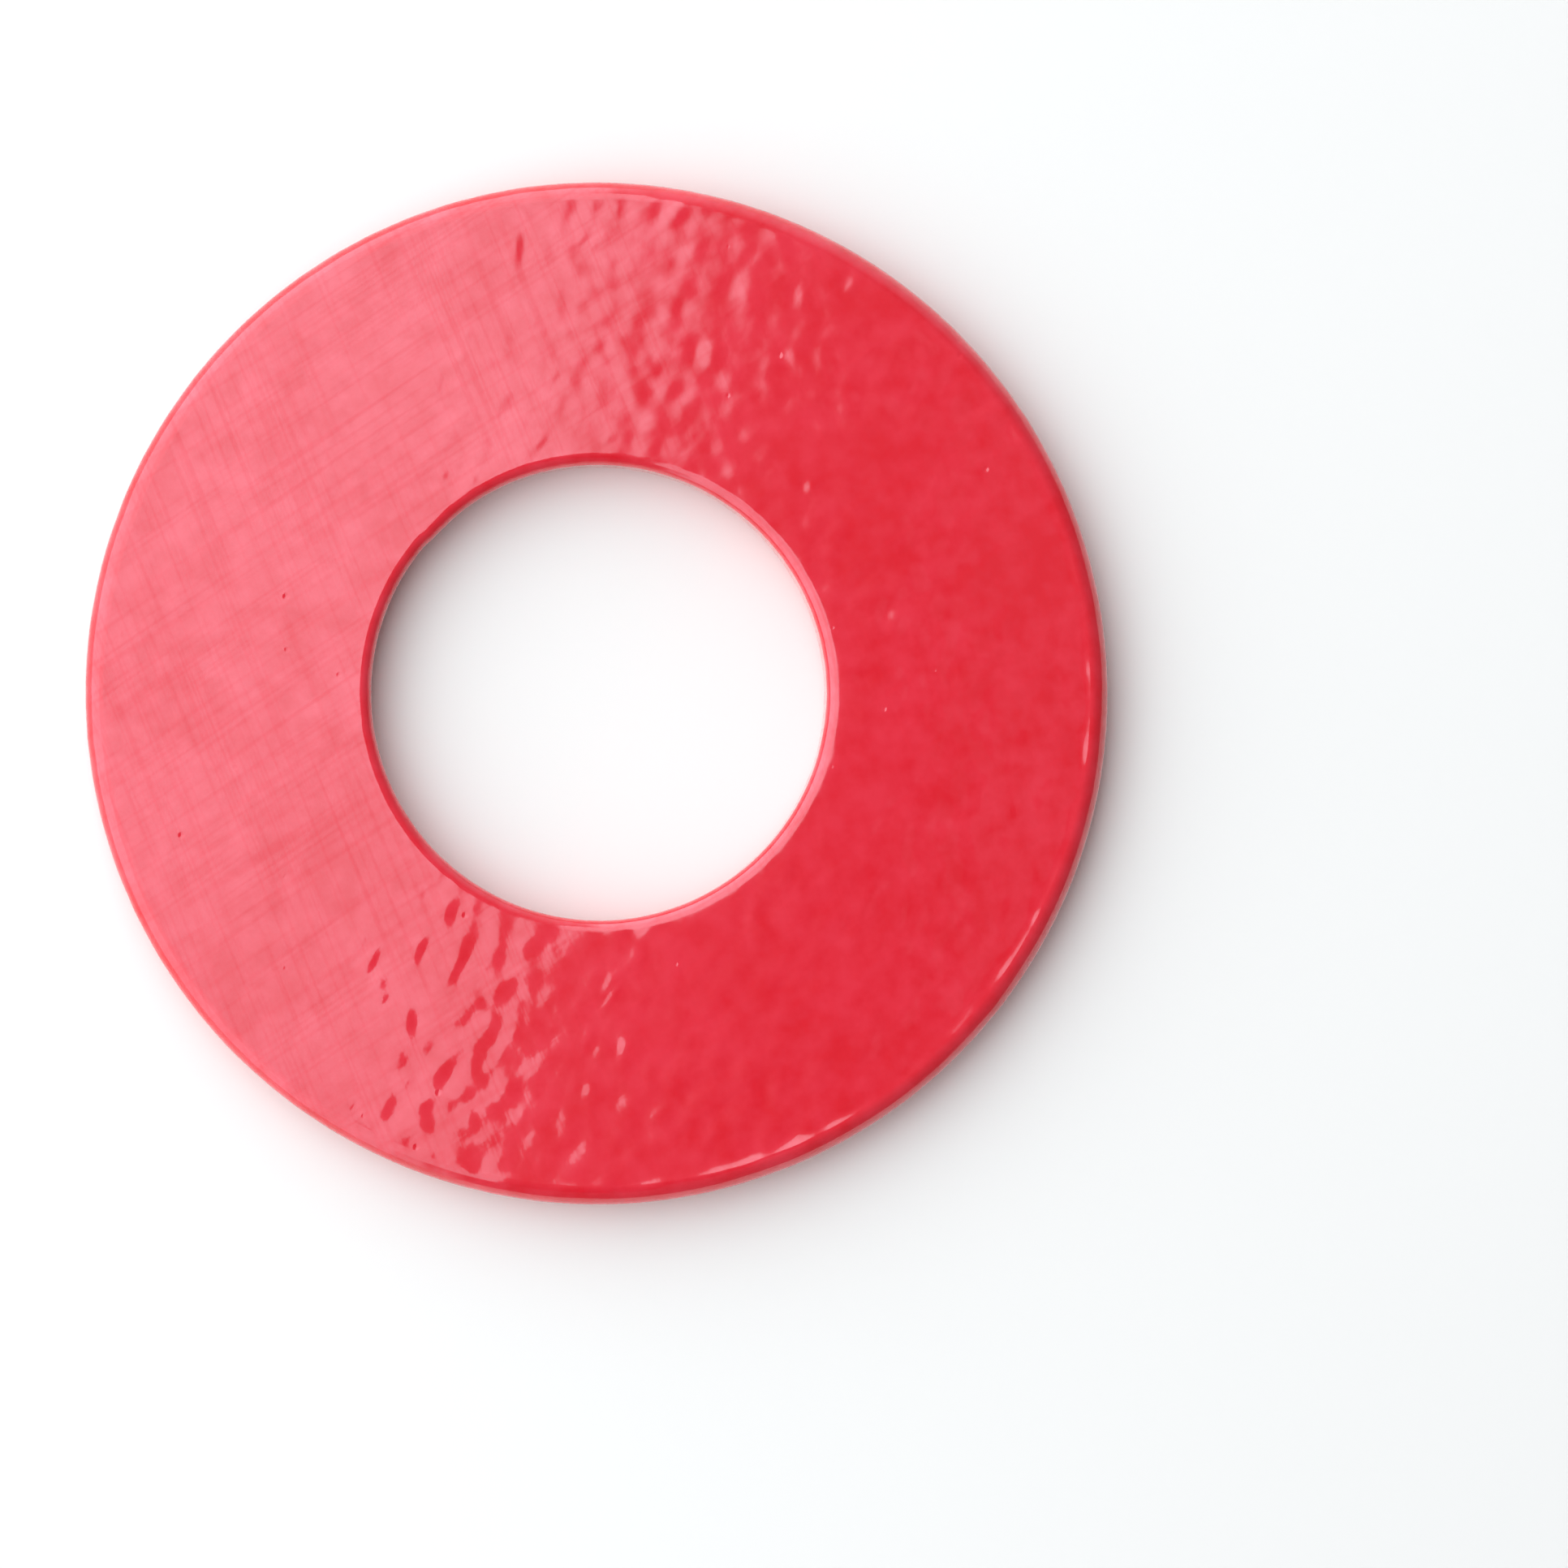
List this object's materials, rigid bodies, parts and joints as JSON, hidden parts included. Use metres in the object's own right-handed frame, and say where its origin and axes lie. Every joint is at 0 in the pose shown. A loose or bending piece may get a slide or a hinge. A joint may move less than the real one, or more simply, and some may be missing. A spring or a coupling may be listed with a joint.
{
  "type": "juggling ring",
  "caption": "Small flat ring with a plain round central hole, rolled edges and a glossy red coating, over a core taken to be stamped steel.",
  "frame": {"origin": "centre of the ring in the plane of its bottom face, on the axis of the hole", "axes": "+Z along the ring's axis, out of the top face; the ring is round about Z, so X and Y are free"},
  "size_m": [0.0638, 0.0638, 0.0034],
  "materials": {
    "steel": "satin",
    "red_film": "gloss"
  },
  "bodies": {
    "root": {"steel_core": "steel", "red_coating": "red_film"}
  },
  "joints": []
}
